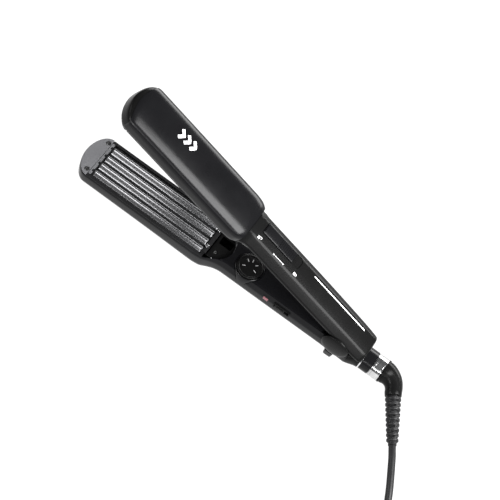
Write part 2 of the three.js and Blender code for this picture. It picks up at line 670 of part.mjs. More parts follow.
function cord() {
  const group = new THREE.Group();
  add(group, "swivel_elbow", swivelElbow(), satinBlack);
  add(group, "strain_relief", strainRelief(), rubber);
  add(group, "cord_lead", tube(LEAD_POINTS, 12), rubber);
  add(group, "cord_coil", coilSolid(), rubber);
  add(group, "cord_tail", tube(TAIL_POINTS, 16), rubber);
  add(group, "cable_tie", cableTie(), rubber);
  add(group, "plug_body", plugBody(), satinBlack);
  add(group, "plug_pin_left", plugPin(1), steel);
  add(group, "plug_pin_right", plugPin(-1), steel);
  return group;
}

const crimper = new THREE.Group();
crimper.add(lowerArm(), upperArm(), controls(), cord());
crimper.position.set(MODEL_SHIFT_X, 0, -FLOOR_Z);

export default crimper;
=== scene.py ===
import json
import math
import bmesh
import bpy
from mathutils import Matrix, Vector


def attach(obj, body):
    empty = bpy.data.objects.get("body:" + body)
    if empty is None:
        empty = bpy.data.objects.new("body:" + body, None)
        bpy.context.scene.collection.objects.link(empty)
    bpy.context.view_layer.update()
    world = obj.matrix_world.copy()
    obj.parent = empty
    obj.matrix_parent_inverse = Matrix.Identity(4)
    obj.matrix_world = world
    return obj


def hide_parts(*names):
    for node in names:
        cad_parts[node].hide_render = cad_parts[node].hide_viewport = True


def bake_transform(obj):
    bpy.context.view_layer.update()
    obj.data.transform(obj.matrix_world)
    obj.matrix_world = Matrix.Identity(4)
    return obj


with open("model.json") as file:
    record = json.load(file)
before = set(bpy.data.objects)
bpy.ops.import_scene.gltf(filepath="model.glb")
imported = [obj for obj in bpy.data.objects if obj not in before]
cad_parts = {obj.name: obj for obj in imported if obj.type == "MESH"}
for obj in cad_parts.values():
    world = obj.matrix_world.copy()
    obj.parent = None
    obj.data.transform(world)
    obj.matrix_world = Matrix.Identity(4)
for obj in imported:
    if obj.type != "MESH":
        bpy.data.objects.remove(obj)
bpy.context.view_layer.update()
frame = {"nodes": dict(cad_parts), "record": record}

# Positions are worked out round the hinge axis, in millimetres, as in the CAD source.
HINGE = Vector((118.5, 0.0, 27.0))
OPEN_ANGLE = math.radians(22.8)
TAIL_Z = -15.1


def place(x, y, z):
    """Hinge-frame millimetres of the lower arm to metres in the model's frame."""
    return (Vector((x, y, z)) + HINGE) / 1000


def raised(x, y, z):
    """The same for the upper arm, whose points are given with the arms closed."""
    c, s = math.cos(OPEN_ANGLE), math.sin(OPEN_ANGLE)
    return place(x * c + z * s, y, -x * s + z * c)


# ---- camera ------------------------------------------------------------------------------
AZIMUTH, ELEVATION, ROLL = (math.radians(a) for a in (6.486, 61.325, 30.078))
back = Vector((math.cos(ELEVATION) * math.sin(AZIMUTH),
               -math.cos(ELEVATION) * math.cos(AZIMUTH), math.sin(ELEVATION)))
level = Vector((math.cos(AZIMUTH), math.sin(AZIMUTH), 0))
right = Matrix.Rotation(ROLL, 3, back) @ level
up = back.cross(right)
camera = bpy.data.objects.new("camera", bpy.data.cameras.new("camera"))
camera.data.lens = 114.9
camera.data.sensor_width = 36
camera.data.clip_end = 20
turn = Matrix((right, up, back)).transposed().to_4x4()
camera.matrix_world = Matrix.Translation(place(*(-84.24 * right + 74.02 * up + 1428.6 * back))) @ turn
bpy.context.collection.objects.link(camera)
bpy.context.scene.camera = camera


# ---- materials ---------------------------------------------------------------------------
def material(name, color, roughness, metallic=0.0, coat=0.0, grain=0.0, grain_scale=900.0, mottle=0.1,
             stretch=(1, 1, 1), specular=0.2, uneven=0.2):
    """A procedural finish: uneven gloss, a slight change of tone, and a fine moulded or drawn grain."""
    made = bpy.data.materials.new(name)
    made.use_nodes = True
    nodes, links = made.node_tree.nodes, made.node_tree.links
    shader = nodes["Principled BSDF"]
    shader.inputs["Metallic"].default_value = metallic
    shader.inputs["Coat Weight"].default_value = coat
    shader.inputs["Coat Roughness"].default_value = 0.05
    if not metallic:
        shader.inputs["Specular IOR Level"].default_value = specular
    position = nodes.new("ShaderNodeTexCoord").outputs["Object"]
    mapping = nodes.new("ShaderNodeMapping")
    mapping.inputs["Scale"].default_value = stretch
    links.new(position, mapping.inputs["Vector"])
    cloud = nodes.new("ShaderNodeTexNoise")
    cloud.inputs["Scale"].default_value = 45
    cloud.inputs["Detail"].default_value = 30 * uneven
    links.new(mapping.outputs["Vector"], cloud.inputs["Vector"])
    tone = nodes.new("ShaderNodeValToRGB")
    tone.color_ramp.elements[0].position = 0.3
    tone.color_ramp.elements[1].position = 0.7
    tone.color_ramp.elements[0].color = [c * (1 - mottle) for c in color] + [1]
    tone.color_ramp.elements[1].color = [min(1, c * (1 + mottle)) for c in color] + [1]
    links.new(cloud.outputs["Fac"], tone.inputs["Fac"])
    links.new(tone.outputs["Color"], shader.inputs["Base Color"])
    gloss = nodes.new("ShaderNodeMapRange")
    gloss.inputs["To Min"].default_value = roughness * (1 - uneven)
    gloss.inputs["To Max"].default_value = roughness * (1 + uneven)
    links.new(cloud.outputs["Fac"], gloss.inputs["Value"])
    links.new(gloss.outputs["Result"], shader.inputs["Roughness"])
    if grain:
        fine = nodes.new("ShaderNodeTexNoise")
        fine.inputs["Scale"].default_value = grain_scale
        fine.inputs["Detail"].default_value = 3
        links.new(mapping.outputs["Vector"], fine.inputs["Vector"])
        bump = nodes.new("ShaderNodeBump")
        bump.inputs["Strength"].default_value = grain
        bump.inputs["Distance"].default_value = 0.0001
        links.new(fine.outputs["Fac"], bump.inputs["Height"])
        links.new(bump.outputs["Normal"], shader.inputs["Normal"])
    return made


GLOSS = material("gloss_black_shell", (0.004, 0.004, 0.0045), 0.22, grain=0.03, grain_scale=350,
                 specular=0.13)
SATIN = material("satin_black_shell", (0.004, 0.004, 0.004), 0.26, grain=0.12, grain_scale=2200,
                 specular=0.07)
INNER = material("matt_black_moulding", (0.008, 0.008, 0.0085), 0.42, grain=0.3, grain_scale=1500,
                 specular=0.12)
PLATE = material("coated_plate", (0.085, 0.085, 0.088), 0.17, metallic=0.75, stretch=(0.3, 1, 1),
                 mottle=0.05, uneven=0.04)
# Painted highlight: the deck rim is gloss black plastic, given a bright metal finish here so that it shows as
# a light line.
RIM_HIGHLIGHT_METAL = material("polished_rim", (0.2, 0.2, 0.205), 0.16, metallic=0.9, grain=0.05)
STEEL = material("plain_steel", (0.5, 0.5, 0.51), 0.28, metallic=1, grain=0.1)
CHROME = material("polished_chrome", (0.8, 0.8, 0.81), 0.07, metallic=1, grain=0.03)
RUBBER = material("soft_rubber", (0.008, 0.008, 0.0085), 0.42, grain=0.4, grain_scale=1600)
LENS = material("red_lens", (0.16, 0.05, 0.06), 0.2, coat=0.5, mottle=0.3)
BOARD = material("circuit_board", (0.02, 0.1, 0.04), 0.5, grain=0.2)
CERAMIC = material("ceramic_heater", (0.7, 0.68, 0.6), 0.6, grain=0.2)
CAP = material("grey_end_cap", (0.1, 0.1, 0.105), 0.42, grain=0.2, grain_scale=1800)
BRUSHED = material("brushed_chrome", (0.62, 0.62, 0.62), 0.16, metallic=1, grain=0.25, grain_scale=300,
                   stretch=(8, 1, 1), mottle=0.2)
PRINT_WHITE = material("white_print", (0.6, 0.6, 0.6), 0.5, mottle=0.04)
PRINT_GREY = material("grey_print", (0.3, 0.3, 0.3), 0.5, mottle=0.05)
FINISHES = {
    "gloss_black": GLOSS,
    "satin_black": SATIN,
    "inner_black": INNER,
    "plate_coating": PLATE,
    "steel": STEEL,
    "chrome": CHROME,
    "rubber": RUBBER,
    "red_lens": LENS,
    "board": BOARD,
    "ceramic": CERAMIC,
}
for part in frame["record"]["subparts"]:
    node = frame["nodes"][part["node"]]
    for material_slot in node.material_slots:
        material_slot.material = FINISHES[part["material_slot"]]


# ---- floor and light ---------------------------------------------------------------------
def floor():
    mesh = bpy.data.meshes.new("floor")
    mesh.from_pydata([(-3, -3, 0), (3, -3, 0), (3, 3, 0), (-3, 3, 0)], [], [(0, 1, 2, 3)])
    made = bpy.data.objects.new("floor", mesh)
    bpy.context.collection.objects.link(made)
    finish = bpy.data.materials.new("floor_light_table")
    finish.use_nodes = True
    shader = finish.node_tree.nodes["Principled BSDF"]
    shader.inputs["Base Color"].default_value = (0.06, 0.06, 0.06, 1)
    shader.inputs["Roughness"].default_value = 0.9
    shader.inputs["Specular IOR Level"].default_value = 0.0
    shader.inputs["Emission Color"].default_value = (1, 1, 1, 1)
    shader.inputs["Emission Strength"].default_value = 1.0
    mesh.materials.append(finish)


def softbox(name, where, target, wide, high, power):
    lamp = bpy.data.lights.new(name, "AREA")
    lamp.shape = "RECTANGLE"
    lamp.size, lamp.size_y = wide, high
    lamp.energy = power
    made = bpy.data.objects.new(name, lamp)
    bpy.context.collection.objects.link(made)
    aim = (Vector(target) - Vector(where)).to_track_quat("-Z", "Y").to_matrix().to_4x4()
    made.matrix_world = Matrix.Translation(where) @ aim


floor()
world = bpy.data.worlds.new("studio")
world.use_nodes = True
world.node_tree.nodes["Background"].inputs["Color"].default_value = (0.95, 0.97, 1, 1)
world.node_tree.nodes["Background"].inputs["Strength"].default_value = 0.12
bpy.context.scene.world = world
bpy.context.scene.view_settings.view_transform = "Standard"
softbox("plate_softbox", (-0.38, -0.62, 0.5), (-0.1, 0, 0.05), 0.45, 0.2, 5)
softbox("upper_softbox", (1.15, -0.16, 1.17), (0, 0, 0.05), 1.2, 1.0, 95)
softbox("handle_softbox", (0.85, -1.1, 0.75), (0, 0, 0.05), 1.0, 0.5, 5)
softbox("cover_softbox", (0.07, -0.85, 0.5), (0.05, 0, 0.03), 0.2, 0.15, 2.2)
softbox("far_strip", (0.1, 1.6, 0.5), (0, 0, 0.05), 2.4, 0.6, 60)
softbox("tip_softbox", (-1.6, -0.2, 0.9), (0, 0, 0.05), 0.8, 0.5, 6)


# ---- mesh helpers ------------------------------------------------------------------------
def piece(name, vertices, faces, finish, body, frame_of=place, crisp=32, bevel=0.0):
    """One solid piece from points in millimetres, smooth-shaded except at its crisp edges."""
    mesh = bpy.data.meshes.new(name)
    mesh.from_pydata([frame_of(*v) for v in vertices], [], faces)
    solid = bmesh.new()
    solid.from_mesh(mesh)
    bmesh.ops.remove_doubles(solid, verts=solid.verts, dist=1e-6)
    bmesh.ops.recalc_face_normals(solid, faces=solid.faces)
    if bevel:
        edges = [e for e in solid.edges if e.is_manifold and e.calc_face_angle(0) > math.radians(crisp)]
        bmesh.ops.bevel(solid, geom=edges, offset=bevel / 1000, segments=3, profile=0.5, affect="EDGES",
                        clamp_overlap=True)
    solid.to_mesh(mesh)
    solid.free()
    for polygon in mesh.polygons:
        polygon.use_smooth = True
    mesh.set_sharp_from_angle(angle=math.radians(crisp))
    mesh.materials.append(finish)
    made = bpy.data.objects.new(name, mesh)
    bpy.context.collection.objects.link(made)
    if body:
        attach(made, body)
    return made


def carve(target, *cutters):
    """Cuts closed pieces out of another and removes them."""
    for cutter in cutters:
        step = target.modifiers.new("cut", "BOOLEAN")
        step.operation = "DIFFERENCE"
        step.solver = "EXACT"
        step.object = cutter
    bpy.context.view_layer.update()
    result = bpy.data.meshes.new_from_object(target.evaluated_get(bpy.context.evaluated_depsgraph_get()))
    target.modifiers.clear()
    target.data = result
    result.set_sharp_from_angle(angle=math.radians(32))
    for cutter in cutters:
        bpy.data.objects.remove(cutter)
    return target


def prism(outline, low, high):
    """Vertices and faces of an outline in the XY plane, drawn up from low to high."""
    count = len(outline)
    vertices = [(x, y, low) for x, y in outline] + [(x, y, high) for x, y in outline]
    faces = [tuple(range(count - 1, -1, -1)), tuple(range(count, 2 * count))]
    faces += [(i, (i + 1) % count, (i + 1) % count + count, i + count) for i in range(count)]
    return vertices, faces


def block(x0, x1, y0, y1, z0, z1):
    return prism([(x0, y0), (x1, y0), (x1, y1), (x0, y1)], z0, z1)


def lathe(profile, origin, axis, steps=64, sweep=None):
    """A profile of (radius, distance) turned round an axis; it starts and ends on the axis or is closed."""
    spin = Vector((0, 0, 1)).rotation_difference(Vector(axis)).to_matrix()
    vertices, faces = [], []
    for i in range(steps):
        angle = 2 * math.pi * i / steps
        for radius, distance in profile:
            local = Vector((radius * math.cos(angle), radius * math.sin(angle), distance))
            vertices.append(tuple(Vector(origin) + spin @ local))
    count = len(profile)
    for i in range(steps):
        for j in range(count - 1):
            a, b = i * count, (i + 1) % steps * count
            faces.append((a + j, b + j, b + j + 1, a + j + 1))
    return vertices, faces


def rounded(points, radii, steps=6):
    """A polyline whose inner corners are rounded off, each by its own distance."""
    made = [points[0]]
    for before, corner, after, radius in zip(points, points[1:], points[2:], radii):
        a, c, b = Vector(before), Vector(corner), Vector(after)
        start = c + (a - c).normalized() * min(radius, (a - c).length * 0.49)
        end = c + (b - c).normalized() * min(radius, (b - c).length * 0.49)
        for i in range(steps + 1):
            t = i / steps
            made.append(tuple(start * (1 - t) ** 2 + c * 2 * t * (1 - t) + end * t ** 2))
    return made + [points[-1]]


def smooth_between(xs, ys, x):
    """Monotone cubic interpolation, so that a form swells only where its stations say."""
    i = max(1, min(len(xs) - 1, next((k for k, v in enumerate(xs) if v >= x), len(xs) - 1)))

    def slope(k):
        if k <= 0 or k >= len(xs) - 1:
            return 0.0
        left = (ys[k] - ys[k - 1]) / (xs[k] - xs[k - 1])
        right_side = (ys[k + 1] - ys[k]) / (xs[k + 1] - xs[k])
        return 0.0 if left * right_side <= 0 else 2 * left * right_side / (left + right_side)

    width = xs[i] - xs[i - 1]
    t = (x - xs[i - 1]) / width
    m0, m1 = slope(i - 1) * width, slope(i) * width
    return ((2 * t ** 3 - 3 * t ** 2 + 1) * ys[i - 1] + (t ** 3 - 2 * t ** 2 + t) * m0
            + (-2 * t ** 3 + 3 * t ** 2) * ys[i] + (t ** 3 - t ** 2) * m1)


def sampled(stations, step):
    """The stations of a form, with more put in between them along its length."""
    xs = [s["x"] for s in stations]
    places = []
    for a, b in zip(xs, xs[1:]):
        parts = max(1, round((b - a) / step))
        places += [a + (b - a) * i / parts for i in range(parts)]
    places.append(xs[-1])
    return [{k: smooth_between(xs, [s[k] for s in stations], x) for k in stations[0]} for x in places]


def shell(name, stations, half, wall, closed_rear, finish, body, frame_of, near=None, step=2.0):
    """A tray-shaped moulding: closed at its tip, open along its rim."""
    rows = sampled(stations, step)
    tip, rear = rows[0]["x"], rows[-1]["x"]
    outer, inner = [], []
    for row in rows:
        side, other = half(row, 0), (near or half)(row, 0)
        outer.append([(row["x"], y, z) for y, z in side + [(-y, z) for y, z in other[-2::-1]]])
        x = min(max(row["x"], tip + wall), rear - wall if closed_rear else rear)
        side, other = half(row, wall), (near or half)(row, wall)
        inner.append([(x, y, z) for y, z in side + [(-y, z) for y, z in other[-2::-1]]])
    count, length = len(outer[0]), len(rows)
    vertices = [v for ring in outer + inner for v in ring]
    shift = count * length
    faces = []
    for i in range(length - 1):
        for j in range(count - 1):
            a, b = i * count + j, (i + 1) * count + j
            faces += [(a, b, b + 1, a + 1), (shift + a, shift + a + 1, shift + b + 1, shift + b)]
        for j in (0, count - 1):
            a, b = i * count + j, (i + 1) * count + j
            faces.append((a, shift + a, shift + b, b))
    last = (length - 1) * count
    faces += [tuple(range(count)), tuple(range(shift, shift + count)),
              (0, count - 1, shift + count - 1, shift)]
    if closed_rear:
        faces += [tuple(range(last, last + count)), tuple(range(shift + last, shift + last + count)),
                  (last, last + count - 1, shift + last + count - 1, shift + last)]
    else:
        faces += [(last + j, last + j + 1, shift + last + j + 1, shift + last + j)
                  for j in range(count - 1)]
    return piece(name, vertices, faces, finish, body, frame_of)


# ---- sections of the two arms ------------------------------------------------------------
def lower_half(s, inset):
    w, base = s["w"] - inset, s["base"] + inset
    side = max(w, 0.02)
    lip = s["w"] - s["tuck"] - (0.9 if inset else 0)
    radius = max(0.05, min(s["r"] - inset, side * 0.9))
    outline = [(max(lip, 0.01), s["rim"]), (side, s["shoulder"]), (side, base + 0.4), (0, base)]
    return rounded(outline, [1.2, radius], 7)


def head_half(s, inset):
    w, base = s["w"] - inset, s["base"] - inset
    side = max(w, 0.02)
    lip = s["w"] - s["tuck"] - (0.9 if inset else 0)
    outline = [(max(lip, 0.01), s["rim"]), (side, s["shoulder"]), (side, base - 1.2), (0, base)]
    return rounded(outline, [1.0, max(0.05, min(s["r"] - inset, side * 0.9))], 8)


def handle_far(s, inset):
    """The far side of the handle is fuller than the near one."""
    wide = 1 if s["base"] < 16.5 else 0.4
    fuller = {
        **s,
        "w": s["w"] + 0.5 * wide,
        "slope": s["slope"] + 2.2 * wide,
        "top": s["top"] + 2.6 * wide,
    }
    return handle_half(fuller, inset)


def handle_half(s, inset):
    """Walls, a slope, and a nearly flat top."""
    w, base = s["w"] - inset, s["base"] - inset
    lip = s["w"] - s["tuck"] - (0.9 if inset else 0)
    top = s["top"] - inset * 0.4
    outline = [(lip, s["rim"]), (w, s["shoulder"]), (w, s["slope"] - inset * 0.6), (top, base - 0.35),
               (0, base)]
    return rounded(outline, [1.0, 1.4, 1.6], 5)


def tip_of(start, reach, station, tip_base, half_width):
    """Stations of a rounded tip, from its end back towards its first full station."""
    rows = []
    for u in (0.9995, 0.996, 0.985, 0.965, 0.93, 0.88, 0.8, 0.7, 0.56, 0.4, 0.2):
        side, drop = math.sqrt(1 - u * u), 1 - u ** 4
        rows.append({
            **station,
            "x": start - reach * u,
            "w": half_width * side,
            "tuck": station["tuck"] * side,
            "base": tip_base + (station["base"] - tip_base) * drop,
            "r": station["r"] * (0.35 + 0.65 * side),
        })
    return rows


LOWER_HEAD = dict(x=-271.5, w=23.2, rim=-2, tuck=0.8, shoulder=-3.6, base=-20, r=11)
LOWER_GRIP = dict(x=-122, w=16.2, rim=1.3, tuck=2.4, shoulder=-4.4, base=-19.4, r=8)
LOWER = tip_of(-271.5, 14, LOWER_HEAD, -14, 23.2) + [
    LOWER_HEAD,
    {**LOWER_HEAD, "x": -205, "base": -21},
    {**LOWER_HEAD, "x": -152, "base": -23},
    {**LOWER_HEAD, "x": -143, "w": 22.3, "base": -23.2},
    {**LOWER_HEAD, "x": -136, "w": 19.2, "rim": -1.4, "tuck": 1.3, "shoulder": -4, "base": -22.3},
    {**LOWER_GRIP, "x": -129, "w": 16.9, "rim": 0.4, "tuck": 2, "base": -20.4},
    LOWER_GRIP,
    {**LOWER_GRIP, "x": -80, "w": 16.3, "base": -19.2},
    {**LOWER_GRIP, "x": -16, "w": 16.4, "base": -18.8},
    {**LOWER_GRIP, "x": 6, "w": 16.4, "rim": -2, "tuck": 1, "shoulder": -7, "base": -19.6},
    {**LOWER_GRIP, "x": 14.7, "w": 16, "rim": -5.4, "tuck": 1, "shoulder": -9, "base": -21},
]
UPPER_HEAD = dict(x=-272.5, w=23.2, rim=2.6, tuck=0.6, shoulder=5, base=20, r=11.5)
HEAD = tip_of(-272.5, 15, UPPER_HEAD, 15.5, 23.2) + [
    UPPER_HEAD,
    {**UPPER_HEAD, "x": -150, "base": 19.6},
    {**UPPER_HEAD, "x": -141, "w": 22.4, "base": 19.1},
    {**UPPER_HEAD, "x": -135.8, "w": 20.2, "rim": 3.2, "tuck": 0.8, "base": 17.9},
]
GRIP = dict(x=-122, w=16.5, rim=5, tuck=1.2, shoulder=7, slope=10, top=8.6, base=15.7)
HANDLE = [
    {**GRIP, "x": -135.4, "w": 20, "rim": 3.2, "tuck": 0.8, "shoulder": 5, "slope": 8.6, "top": 9.4,
     "base": 17.7},
    {**GRIP, "x": -128, "w": 17, "rim": 4.6, "slope": 9.4, "top": 8.8, "base": 16.1},
    GRIP,
    {**GRIP, "x": -60, "base": 15.5},
    {**GRIP, "x": 0, "w": 15.9, "base": 15.3, "slope": 9.8},
    {**GRIP, "x": 21, "w": 15.2, "rim": 5.8, "shoulder": 7.2, "base": 14.7, "slope": 9.5},
    {**GRIP, "x": 24, "w": 14.8, "rim": 6.6, "shoulder": 7.8, "base": 14.2, "slope": 9.3, "top": 8.2},
    {**GRIP, "x": 25, "w": 13.8, "rim": 7.6, "shoulder": 8.4, "base": 13.2, "slope": 9, "top": 7.4},
]


# ---- lower arm ---------------------------------------------------------------------------
DIAL = (-102.6, -3.0)


def drum(radius, depth):
    """The profile of a plain round cutter."""
    return [(0, 0), (radius, 0), (radius, depth), (0, depth)]


def dial_hole(name):
    return piece(name, *lathe(drum(14.3, 12), (*DIAL, -7), (0, 0, 1)), GLOSS, None)


body = shell("lower_shell", LOWER, lower_half, 2, False, GLOSS, "lower_arm", place)
carve(body, dial_hole("c1"),
      piece("c11", *lathe(drum(8.3, 6), (0, 15.2, 0), (0, 1, 0)), GLOSS, None),
      piece("c2", *block(-66.2, -48.8, -20, -11, -7.4, -1.2), GLOSS, None))
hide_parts("lower_outer_shell")


def cheek(side, start, thick):
    profile = [(2.65, 0), (9, 0), (9, thick - 0.4), (8.7, thick), (2.65, thick), (2.65, 0)]
    return piece("hinge_cheek_" + ("far" if side > 0 else "near"), *lathe(profile, (0, start, 0), (0, 1, 0)),
                 GLOSS, "lower_arm")


cheek(1, 12.2, 3.0)
cheek(-1, -16.4, 3.4)


def tube_faces(count, length, ends=True):
    """Faces of a row of closed rings, each of count points."""
    faces = []
    for i in range(length - 1):
        for j in range(count):
            a, b = i * count, (i + 1) * count
            after = (j + 1) % count
            faces.append((a + j, a + after, b + after, b + j))
    if ends:
        faces += [tuple(range(count)), tuple(range((length - 1) * count, length * count))]
    return faces


def lofted(name, rings, finish, body, frame_of=place, **more):
    """A closed piece through a row of rings."""
    vertices = [v for ring in rings for v in ring]
    return piece(name, vertices, tube_faces(len(rings[0]), len(rings)), finish, body, frame_of, **more)


def cover_ring(s, thick):
    """A cover whose long edges are rolled over."""
    half = rounded([(0, s["top"]), (s["w"], s["top"] - 0.25), (s["w"] - 0.1, s["top"] - thick),
                    (0, s["top"] - thick)], [s["roll"], 0.5], 6)
    return [(s["x"], y, z) for y, z in half + [(-y, z) for y, z in half[-2:0:-1]]]


def deck_outline(grow):
    half, reach = 16 + grow, 13.4 + grow
    outline = [(-141.5 - grow, half), (-141.5 - grow, -half)]
    for i in range(41):
        t = -math.pi / 2 + math.pi * i / 40
        outline.append((-136 + reach * math.cos(t), half * math.sin(t)))
    return outline


COVER = [dict(x=x, w=w, top=t, roll=r) for x, w, t, r in (
    (-137.4, 16.2, -0.7, 4), (-129, 13.8, 1.2, 4), (-122, 13.2, 2, 4.5), (-80, 13.3, 2.1, 5),
    (-30, 13.3, 2.1, 5), (-16, 12.9, 1.6, 4))]
cover = lofted("lower_cover", [cover_ring(s, 2.6) for s in sampled(COVER, 2.5)], GLOSS, "lower_arm")
carve(cover, piece("c3", *prism(deck_outline(0.4), -8, 6), GLOSS, None), dial_hole("c4"))
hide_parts("lower_inner_cover")

deck = piece("keeper_deck", *prism(deck_outline(0), -5, -3), SATIN, "lower_arm", bevel=0.5)
carve(deck, piece("c5", *block(-138.6, -125.8, 1, 10, -8, 0), SATIN, None, bevel=0.8),
      piece("c6", *lathe(drum(1.9, 5), (-135.9, -8.4, -7), (0, 0, 1), 32), SATIN, None))
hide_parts("lock_deck")
RIM_RADIUS = 0.45
bead = []
for x, y in deck_outline(0.25)[2:]:
    dx, dy = (x + 136) / 14, y / 17
    bead.append([(x + RIM_RADIUS * math.cos(a) * dx, y + RIM_RADIUS * math.cos(a) * dy,
                  -2.6 + RIM_RADIUS * math.sin(a)) for a in (k * math.pi / 4 for k in range(8))])
# The rim's bright metal finish is a painted highlight on what is gloss black plastic.
lofted("deck_rim", bead, RIM_HIGHLIGHT_METAL, "lower_arm")


BLACKENED = material("blackened_screw", (0.03, 0.03, 0.03), 0.4, metallic=0.4, grain=0.1)


def screw(name, x, y, top, depth, radius, frame_of, body, node, facing=1):
    """A countersunk cross-head screw."""
    profile = [(0, -0.45), (radius * 0.2, -0.45), (radius * 0.78, 0), (radius * 0.95, -0.15), (radius, -0.4),
               (radius * 0.55, -1.4), (radius * 0.55, -depth), (0, -depth)]
    turned = lathe([(r, facing * h) for r, h in profile], (x, y, top), (0, 0, 1), 32)
    made = piece(name, *turned, BLACKENED, body, frame_of)
    cross = [piece("c", *block(x - a, x + a, y - b, y + b, top - 0.8, top + 0.8), BLACKENED, None, frame_of)
             for a, b in ((radius * 0.62, 0.28), (0.28, radius * 0.62))]
    carve(made, *cross)
    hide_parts(node)
    return made


screw("deck_fixing", -135.9, -8.4, -3.6, 4.3, 1.7, place, "lower_arm", "deck_screw")
for label, side in (("near", -1), ("far", 1)):
    screw("lower_cap_screw_" + label, -273.6, side * 17, -1.45, 6.5, 2.1, place, "lower_arm",
          "lower_tip_screw_" + label)
    screw("upper_cap_screw_" + label, -273.6, side * 17, 2.3, 6, 2.1, raised, "upper_arm",
          "upper_tip_screw_" + label, -1)


def half_moon(start, reach, half, steps=48):
    return [(start - reach * math.sin(math.pi * i / steps), half * math.cos(math.pi * i / steps))
            for i in range(steps + 1)]


def end_cap(name, start, z0, z1, lid0, lid1, frame_of, body, node):
    """A plug that fits inside the shell, and a lid that reaches its outside."""
    for label, outline, low, high in (("", half_moon(start, 12, 20.8), z0, z1),
                                      ("_lid", half_moon(start, 14.3, 22.8), lid0, lid1)):
        made = piece(name + label, *prism(outline, low, high), CAP, body, frame_of, bevel=0.3)
        carve(made, *[piece("c", *lathe([(0, 0), (2.5, 0), (2.5, 8), (0, 8)], (-273.6, side * 17, low - 2),
                                        (0, 0, 1), 32), CAP, None, frame_of) for side in (-1, 1)])
        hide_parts(node)


end_cap("lower_end_cap", -270.8, -4.2, -1.5, -1.6, -0.75, place, "lower_arm", "lower_tip_cap")
end_cap("upper_end_cap", -271.6, 2.2, 4.6, 1.55, 2.3, raised, "upper_arm", "upper_tip_cap")


# ---- heating plates ----------------------------------------------------------------------
def wave(y, middle):
    """Flat flanks with rounded ridges and valleys."""
    return middle - 2.1 * math.asin(0.88 * math.cos(2 * math.pi * (y + 19.5) / 9.75)) / math.asin(0.88)


def crimp_plate(name, middle, back, frame_of, body, node):
    """The corrugated plate, its ridges rolled off at both ends."""
    rings = []
    for x, sink in ((-266.5, 1.3), (-266.2, 0.6), (-265.6, 0.15), (-264.5, 0), (-206, 0), (-148.5, 0),
                    (-147.4, 0.15), (-146.8, 0.6), (-146.5, 1.3)):
        toward = 1 if back < middle else -1
        top = []
        for i in range(97):
            y = -19.5 + 39 * i / 96
            z = wave(y, middle)
            top.append((y, z - toward * sink * (0.6 + 0.4 * (z - middle) / 2.1 * toward)))
        rings.append([(x, y, z) for y, z in top + [(19.5, back), (-19.5, back)]])
    made = lofted(name, rings, PLATE, body, frame_of, crisp=50)
    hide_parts(node)


crimp_plate("lower_waved_plate", -1, -5.5, place, "lower_arm", "lower_crimp_plate")
crimp_plate("upper_waved_plate", 0.6, 5.2, raised, "upper_arm", "upper_crimp_plate")


def comb_strip(name, x, top, frame_of, body):
    """The light strip with a notch at each valley, between a plate and its end cap."""
    notch = [(x - 1.6, -19.4), (x + 1.2, -19.4)]
    for k in range(4):
        y = -19.5 + 9.75 * (k + 0.5)
        notch += [(x + 1.2, y - 1.6), (x - 0.4, y - 1.1), (x - 0.4, y + 1.1), (x + 1.2, y + 1.6)]
    notch += [(x + 1.2, 19.4), (x - 1.6, 19.4)]
    piece(name, *prism(notch, top - 1.6, top), CAP, body, frame_of, bevel=0.25)


comb_strip("lower_end_strip", -268.9, -0.9, place, "lower_arm")
comb_strip("upper_end_strip", -269.2, 3.4, raised, "upper_arm")

bar = lofted("plate_clamp_bar", [[(x, y, z) for x, z in rounded(
    [(-146.1, -1.4), (-146.1, 0.2), (-144.2, 0.5), (-142.1, 0.2), (-142.1, -1.4)], [0.5, 0.6, 0.5], 3)]
    for y in (-17, -16.6, -6, 6, 16.6, 17)], INNER, "lower_arm", crisp=50)
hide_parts("plate_retainer")
for side in (-1, 1):
    label = "far" if side > 0 else "near"
    piece("clamp_clip_" + label, *block(-146.0, -143.4, side * 10 - 1.5, side * 10 + 1.5, 0.1, 1.1), STEEL,
          "lower_arm", bevel=0.3)


# ---- dial, switch and lamp ---------------------------------------------------------------
profile = [(3.4, -6.6), (13.9, -6.6), (13.9, 1.6), (13.6, 2.4), (13.2, 2.7), (12.95, 2.4), (12.9, -1.6),
           (3.4, -1.6), (3.4, -6.6)]
bezel = piece("dial_surround", *lathe(profile, (*DIAL, 0), (0, 0, 1), 96), GLOSS, "lower_arm")
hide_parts("dial_bezel")


def knob():
    """A knurled knob with a dished top."""
    steps = 240
    rows = [(0, -1.2, 0), (12.3, -1.2, 0), (12.5, -0.8, 1), (12.5, 2.9, 1), (12.1, 3.6, 1), (11.4, 3.95, 0.3),
            (10.6, 4, 0), (10.2, 3.6, 0), (9.8, 3.55, 0), (9.4, 3.75, 0), (5, 3.7, 0), (0, 3.7, 0)]
    vertices = []
    for i in range(steps):
        angle = 2 * math.pi * i / steps
        tooth = 0.28 * (0.5 - 0.5 * math.cos(2 * math.pi * i / 4))
        for radius, height, knurl in rows:
            r = radius - knurl * tooth
            vertices.append((DIAL[0] + r * math.cos(angle), DIAL[1] + r * math.sin(angle), height))
    count = len(rows)
    faces = []
    for i in range(steps):
        a, b = i * count, (i + 1) % steps * count
        faces += [(a + j, b + j, b + j + 1, a + j + 1) for j in range(count - 1)]
    made = piece("temperature_knob", vertices, faces, SATIN, "temperature_dial", crisp=40)
    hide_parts("dial_knob")


knob()


